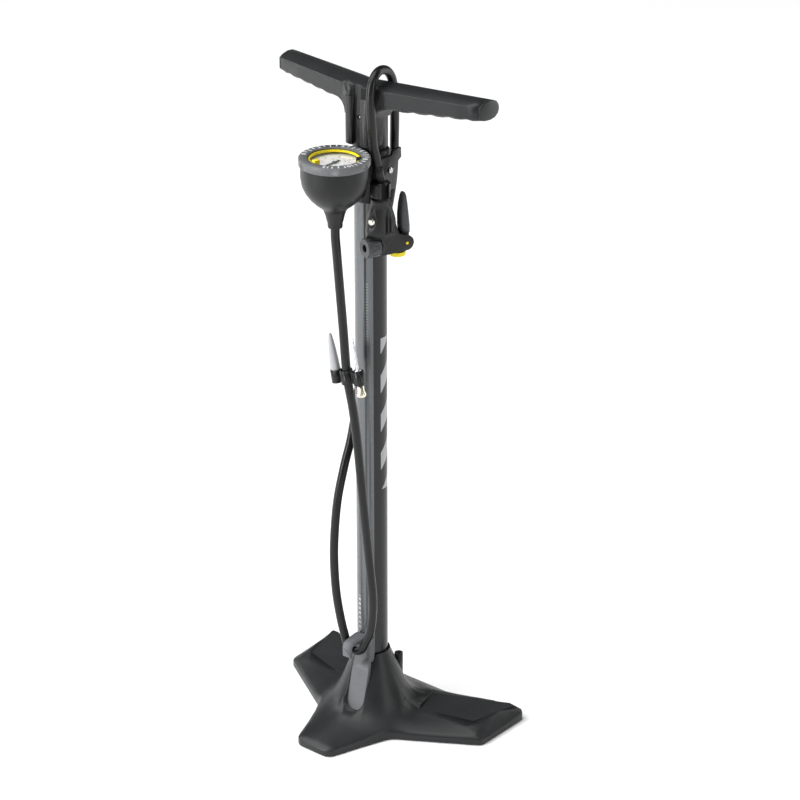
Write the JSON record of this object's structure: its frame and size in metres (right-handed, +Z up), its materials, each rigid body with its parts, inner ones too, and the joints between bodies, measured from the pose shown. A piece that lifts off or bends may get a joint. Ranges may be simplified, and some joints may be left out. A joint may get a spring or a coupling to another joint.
{
  "type": "floor bicycle pump",
  "caption": "Upright floor pump: tripod base with foot wings, slim barrel, T handle, top-mounted round gauge, hose with lever chuck clipped to the head.",
  "frame": {"origin": "bottom centre of the pump's bounding box, on the barrel's axis at floor level to within a few millimetres", "axes": "+Z up along the barrel, -Y towards the front leg and the gauge, +X towards the right foot wing"},
  "size_m": [0.2736, 0.1969, 0.741],
  "materials": {
    "charcoal_plastic": "fine matte grain",
    "black_plastic": "satin moulded",
    "barrel_paint": "gloss paint on steel tube",
    "grey_plastic": "satin moulded",
    "black_rubber": "smooth rubber",
    "tread_rubber": "pebbled grip surface",
    "chromed_steel": "bright chrome",
    "aluminium": "drawn and turned",
    "brass": "turned brass",
    "yellow_plastic": "satin moulded",
    "dial_white": "printed dial",
    "clear_lens": "clear plastic lens"
  },
  "bodies": {
    "frame": {"base": "charcoal_plastic", "barrel_head": "black_plastic", "gauge_housing": "black_plastic", "hose_boot": "black_plastic", "chuck_body": "black_plastic", "chuck_dock": "black_plastic", "accessory_clip": "black_plastic", "hose_ferrule": "black_plastic", "outer_barrel": "barrel_paint", "hose_hook": "grey_plastic", "gauge_bezel": "grey_plastic", "port_collar": "grey_plastic", "cone_nozzle": "grey_plastic", "foot_left": "black_rubber", "foot_right": "black_rubber", "foot_front": "black_rubber", "hose": "black_rubber", "rod_wiper": "black_rubber", "port_washer": "black_rubber", "lower_washer": "black_rubber", "tread_left": "tread_rubber", "tread_right": "tread_rubber", "barrel_bolt": "chromed_steel", "check_spring": "chromed_steel", "dock_screw": "chromed_steel", "ball_needle": "chromed_steel", "inner_cylinder": "aluminium", "foot_plug": "aluminium", "valve_seat": "brass", "rod_bushing": "brass", "gauge_movement": "brass", "gauge_socket": "brass", "bourdon_tube": "brass", "needle_base": "brass", "lower_collar": "yellow_plastic", "lever_pin": "yellow_plastic", "gauge_dial": "dial_white", "gauge_window": "clear_lens"},
    "handle": {"handle": "charcoal_plastic", "handle_cap_left": "charcoal_plastic", "handle_cap_right": "charcoal_plastic", "handle_pin": "chromed_steel", "piston_rod": "chromed_steel", "piston": "black_plastic", "piston_seal": "black_rubber", "piston_nut": "chromed_steel", "top_bumper": "black_rubber"},
    "needle": {"gauge_needle": "black_plastic"},
    "marker": {"pressure_marker": "yellow_plastic"},
    "foot_valve": {"check_valve": "black_rubber"},
    "lever": {"chuck_lever": "grey_plastic"},
    "plunger": {"plunger": "brass"},
    "bleed": {"bleed_button": "chromed_steel"}
  },
  "joints": [
    {"name": "handle_stroke", "type": "slide", "parent": "frame", "child": "handle", "axis": [0, 0, 1], "range_m": [0, 0.515], "deforming": ["hose"]},
    {"name": "gauge_needle_turn", "type": "hinge", "parent": "frame", "child": "needle", "pos_m": [0, -0.0545, 0.6512], "axis": [0, 0, -1], "range_deg": [0, 270], "stiffness_Nm_per_rad": 0.0005},
    {"name": "marker_turn", "type": "hinge", "parent": "frame", "child": "marker", "pos_m": [0, -0.0545, 0.655], "axis": [0, 0, 1], "continuous": true},
    {"name": "foot_valve_lift", "type": "slide", "parent": "frame", "child": "foot_valve", "axis": [0, 0, -1], "range_m": [0, 0.0012], "stiffness_N_per_m": 300, "deforming": ["check_spring"]},
    {"name": "chuck_lever_turn", "type": "hinge", "parent": "frame", "child": "lever", "pos_m": [0.03565, 0.00779, 0.5602], "axis": [-0.9336, 0.3584, 0], "range_deg": [0, 95]},
    {"name": "plunger_slide", "type": "slide", "parent": "frame", "child": "plunger", "axis": [-0.3584, -0.9336, 0], "range_m": [0, 0.0013]},
    {"name": "bleed_slide", "type": "slide", "parent": "frame", "child": "bleed", "axis": [0, 1, 0], "range_m": [0, 0.0022], "stiffness_N_per_m": 500}
  ],
  "couplings": [
    {"joint": "plunger_slide", "follows": "chuck_lever_turn", "m_per_rad": 0.00076}
  ]
}
